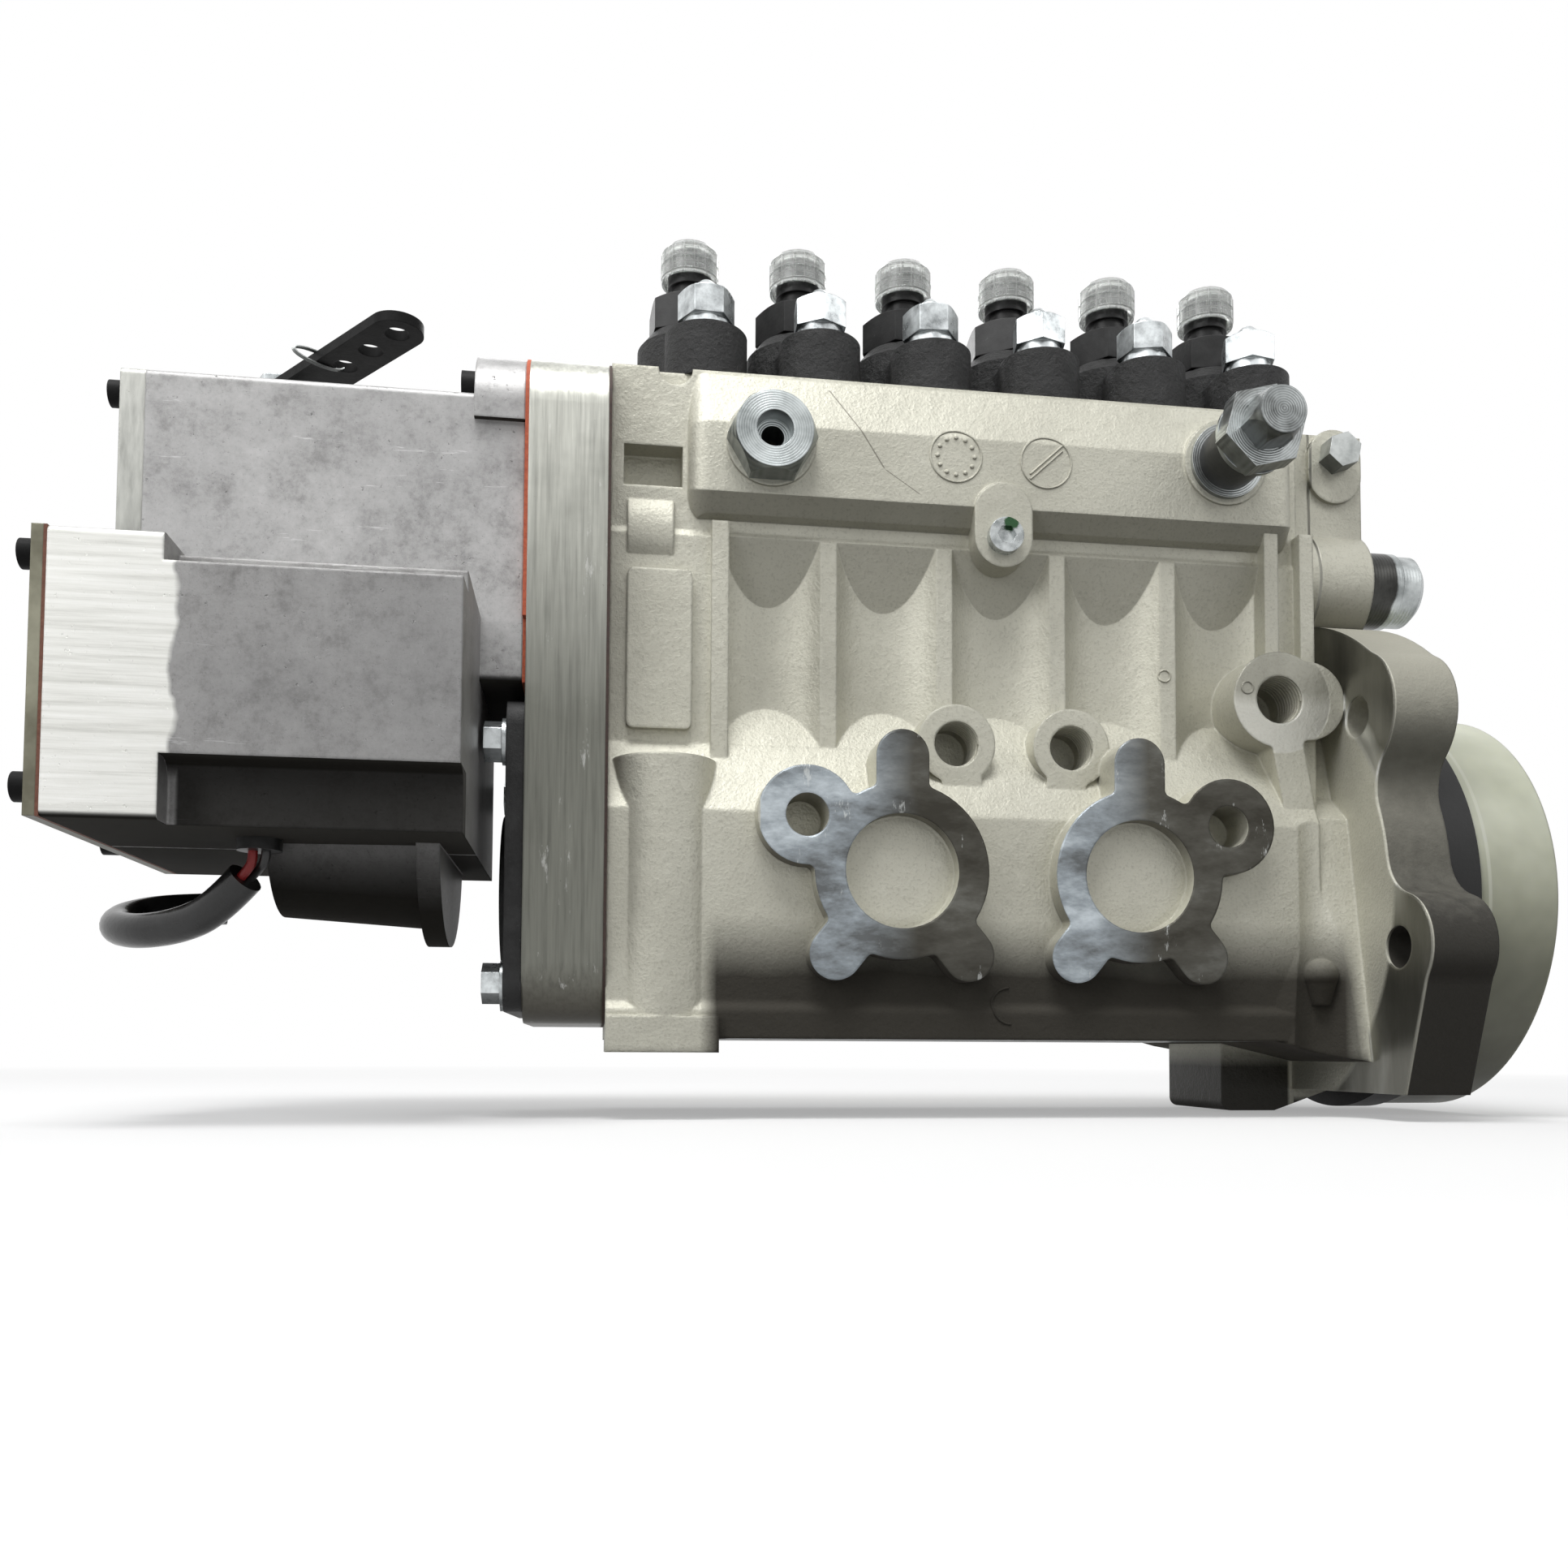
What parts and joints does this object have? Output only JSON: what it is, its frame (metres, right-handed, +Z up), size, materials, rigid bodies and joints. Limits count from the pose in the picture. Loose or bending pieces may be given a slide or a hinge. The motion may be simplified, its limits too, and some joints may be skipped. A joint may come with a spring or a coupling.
{
  "type": "diesel injection pump",
  "caption": "In-line fuel injection pump in a ribbed aluminium housing with flange drive end, row of delivery valves, electric governor and stop lever.",
  "frame": {"origin": "centre of the pilot on the engine face of the mounting flange", "axes": "+X out of the drive end along the camshaft, +Z up towards the delivery valves, -Y towards the feed pump pads"},
  "size_m": [0.4137, 0.181, 0.2746],
  "materials": {
    "cast_aluminium": "satin fine sand cast",
    "gasket_dark": "matte",
    "gasket_red": "matte",
    "dark_plate": "satin",
    "machined_aluminium": "brushed",
    "mottled_aluminium": "mottled die cast",
    "olive_zinc": "passivated",
    "black_screw": "black oxide",
    "zinc": "bright zinc",
    "black_iron": "phosphated",
    "clear_cap": "clear ribbed plastic",
    "milky_cap": "translucent",
    "black_rubber": "satin",
    "bright_steel": "ground",
    "winding": "lacquered",
    "black_lever": "black oxide",
    "wire_cover": "smooth",
    "cable_cover": "glossy sleeve"
  },
  "bodies": {
    "housing": {"pump_housing": "cast_aluminium", "housing_gasket": "gasket_dark", "actuator_gasket": "gasket_dark", "governor_gasket": "gasket_red", "base_cover": "dark_plate", "shaft_cover": "dark_plate", "adapter_plate": "machined_aluminium", "governor_housing": "mottled_aluminium", "governor_cover": "mottled_aluminium", "actuator_housing": "mottled_aluminium", "actuator_cover": "olive_zinc", "governor_cover_screws": "black_screw", "actuator_cover_screws": "black_screw", "governor_flange_screws": "black_screw", "base_screws": "zinc", "shaft_cover_screws": "zinc", "inlet_fitting": "zinc", "overflow_union": "zinc", "overflow_bolt": "zinc", "overflow_washers": "zinc", "rack_guide_screw": "zinc", "side_bolt": "zinc", "rack_end_cap": "zinc", "flange_studs": "zinc", "flange_nuts": "zinc", "flange_washers": "zinc", "delivery_flanges": "black_iron", "valve_holders": "black_iron", "transit_caps": "clear_cap", "drive_cap": "milky_cap", "overflow_sleeve": "black_rubber", "pilot_ring": "black_rubber", "oil_seal": "black_rubber", "cable_gland": "black_rubber", "bearing_retainer": "bright_steel", "bearing_outer_rings": "bright_steel", "bearing_rollers": "bright_steel", "tappets": "bright_steel", "tappet_rollers": "bright_steel", "plunger_springs": "bright_steel", "spring_plates": "bright_steel", "plungers": "bright_steel", "barrels": "bright_steel", "stop_bushing": "bright_steel", "actuator_stator": "winding", "actuator_wires": "wire_cover", "cable_sleeve": "cable_cover"},
    "camshaft": {"camshaft": "bright_steel", "drive_key": "bright_steel", "bearing_inner_rings": "bright_steel"},
    "rack": {"control_rack": "bright_steel"},
    "actuator": {"actuator_rotor": "bright_steel"},
    "stop": {"stop_lever": "black_lever", "stop_shaft": "bright_steel"},
    "sleeve_1": {"control_sleeve_1": "bright_steel"},
    "sleeve_2": {"control_sleeve_2": "bright_steel"},
    "sleeve_3": {"control_sleeve_3": "bright_steel"},
    "sleeve_4": {"control_sleeve_4": "bright_steel"},
    "sleeve_5": {"control_sleeve_5": "bright_steel"},
    "sleeve_6": {"control_sleeve_6": "bright_steel"}
  },
  "joints": [
    {"name": "camshaft_spin", "type": "hinge", "parent": "housing", "child": "camshaft", "pos_m": [0, 0, 0], "axis": [1, 0, 0], "continuous": true},
    {"name": "rack_slide", "type": "slide", "parent": "housing", "child": "rack", "axis": [1, 0, 0], "range_m": [-0.008, 0.008]},
    {"name": "actuator_turn", "type": "hinge", "parent": "housing", "child": "actuator", "pos_m": [-0.318, -0.02, 0.04], "axis": [0, 1, 0], "range_deg": [-7.29, 7.29]},
    {"name": "stop_lever_turn", "type": "hinge", "parent": "housing", "child": "stop", "pos_m": [-0.348, 0.0256, 0.162], "axis": [0, 0, 1], "range_deg": [-40, 0]},
    {"name": "sleeve_1_turn", "type": "hinge", "parent": "housing", "child": "sleeve_1", "pos_m": [-0.042, 0, 0.1056], "axis": [0, 0, 1], "range_deg": [-23.68, 23.68]},
    {"name": "sleeve_2_turn", "type": "hinge", "parent": "housing", "child": "sleeve_2", "pos_m": [-0.077, 0, 0.1056], "axis": [0, 0, 1], "range_deg": [-23.68, 23.68]},
    {"name": "sleeve_3_turn", "type": "hinge", "parent": "housing", "child": "sleeve_3", "pos_m": [-0.112, 0, 0.1056], "axis": [0, 0, 1], "range_deg": [-23.68, 23.68]},
    {"name": "sleeve_4_turn", "type": "hinge", "parent": "housing", "child": "sleeve_4", "pos_m": [-0.147, 0, 0.1056], "axis": [0, 0, 1], "range_deg": [-23.68, 23.68]},
    {"name": "sleeve_5_turn", "type": "hinge", "parent": "housing", "child": "sleeve_5", "pos_m": [-0.182, 0, 0.1056], "axis": [0, 0, 1], "range_deg": [-23.68, 23.68]},
    {"name": "sleeve_6_turn", "type": "hinge", "parent": "housing", "child": "sleeve_6", "pos_m": [-0.217, 0, 0.1056], "axis": [0, 0, 1], "range_deg": [-23.68, 23.68]}
  ],
  "couplings": [
    {"joint": "actuator_turn", "follows": "rack_slide", "rad_per_m": 15.789},
    {"joint": "sleeve_1_turn", "follows": "rack_slide", "rad_per_m": 51.44},
    {"joint": "sleeve_2_turn", "follows": "rack_slide", "rad_per_m": 51.44},
    {"joint": "sleeve_3_turn", "follows": "rack_slide", "rad_per_m": 51.44},
    {"joint": "sleeve_4_turn", "follows": "rack_slide", "rad_per_m": 51.44},
    {"joint": "sleeve_5_turn", "follows": "rack_slide", "rad_per_m": 51.44},
    {"joint": "sleeve_6_turn", "follows": "rack_slide", "rad_per_m": 51.44}
  ]
}
